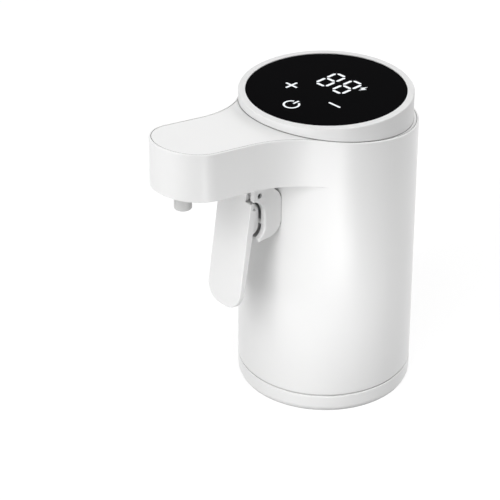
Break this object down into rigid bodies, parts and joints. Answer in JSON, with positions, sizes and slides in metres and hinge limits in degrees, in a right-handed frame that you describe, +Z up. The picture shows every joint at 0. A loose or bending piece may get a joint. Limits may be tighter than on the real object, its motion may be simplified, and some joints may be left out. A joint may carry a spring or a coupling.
{
  "type": "electric wine aerator",
  "caption": "Cylindrical battery pump head for a bottle, with a sloping spout arm, a paddle lever under it and a round touch display.",
  "frame": {"origin": "on the body's axis, at the plane where the bottle's lip seats against the lip seal", "axes": "+Z up along the body's axis, the spout arm along -Y, +X to the right seen from behind the display"},
  "size_m": [0.065, 0.1109, 0.1211],
  "materials": {
    "white_shell": "satin",
    "white_trim": "satin",
    "black_glass": "polished",
    "lit_marks": "lit",
    "nozzle_grey": "satin",
    "silicone": "matte",
    "clear_core": "satin",
    "inner_plastic": "matte",
    "gear_plastic": "matte",
    "steel": "satin",
    "magnet_black": "matte",
    "copper": "satin",
    "cell_wrap": "satin",
    "circuit_board": "matte",
    "black_plastic": "matte",
    "pale_plastic": "matte"
  },
  "bodies": {
    "housing": {"main_shell": "white_shell", "base_cover": "white_shell", "top_cover": "white_trim", "display_bezel": "white_trim", "display_glass": "black_glass", "digit_segments": "lit_marks", "key_icons": "lit_marks", "outlet_nozzle": "nozzle_grey", "aerator_insert": "nozzle_grey", "bottle_stopper": "silicone", "lip_seal": "silicone", "air_valve": "silicone", "nozzle_gasket": "silicone", "shaft_seal": "silicone", "inlet_hose": "silicone", "outlet_hose": "silicone", "stopper_core": "clear_core", "chassis": "inner_plastic", "pump_cover": "inner_plastic", "pump_body": "inner_plastic", "motor_end_cap": "inner_plastic", "base_screws": "steel", "chassis_screws": "steel", "pump_screws": "steel", "motor_screws": "steel", "hinge_pin": "steel", "idler_pin": "steel", "motor_can": "steel", "usb_port": "steel", "motor_magnets": "magnet_black", "battery_cell": "cell_wrap", "main_board": "circuit_board", "display_board": "circuit_board", "board_chips": "black_plastic", "micro_switch": "black_plastic", "led_module": "pale_plastic", "touch_pads": "pale_plastic", "ribbon_cable": "pale_plastic"},
    "lever": {"lever_paddle": "white_trim", "lever_spring": "steel"},
    "plunger": {"switch_plunger": "pale_plastic"},
    "pump_drive": {"drive_shaft": "steel", "drive_gear": "gear_plastic", "motor_armature": "copper"},
    "pump_idler": {"idler_gear": "gear_plastic"}
  },
  "joints": [
    {"name": "lever_hinge", "type": "hinge", "parent": "housing", "child": "lever", "pos_m": [0, -0.0412, 0.0653], "axis": [1, 0, 0], "range_deg": [0, 8], "stiffness_Nm_per_rad": 0.02, "springref_deg": -20.05},
    {"name": "plunger_slide", "type": "slide", "parent": "housing", "child": "plunger", "axis": [0, 1, 0], "range_m": [0, 0.0016]},
    {"name": "pump_spin", "type": "hinge", "parent": "housing", "child": "pump_drive", "pos_m": [-0.0045, -0.005, 0.03], "axis": [0, 0, 1], "continuous": true},
    {"name": "idler_spin", "type": "hinge", "parent": "housing", "child": "pump_idler", "pos_m": [0.0045, -0.005, 0.02], "axis": [0, 0, 1], "continuous": true}
  ],
  "couplings": [
    {"joint": "plunger_slide", "follows": "lever_hinge", "m_per_rad": 0.0112},
    {"joint": "idler_spin", "follows": "pump_spin", "ratio": -1}
  ]
}
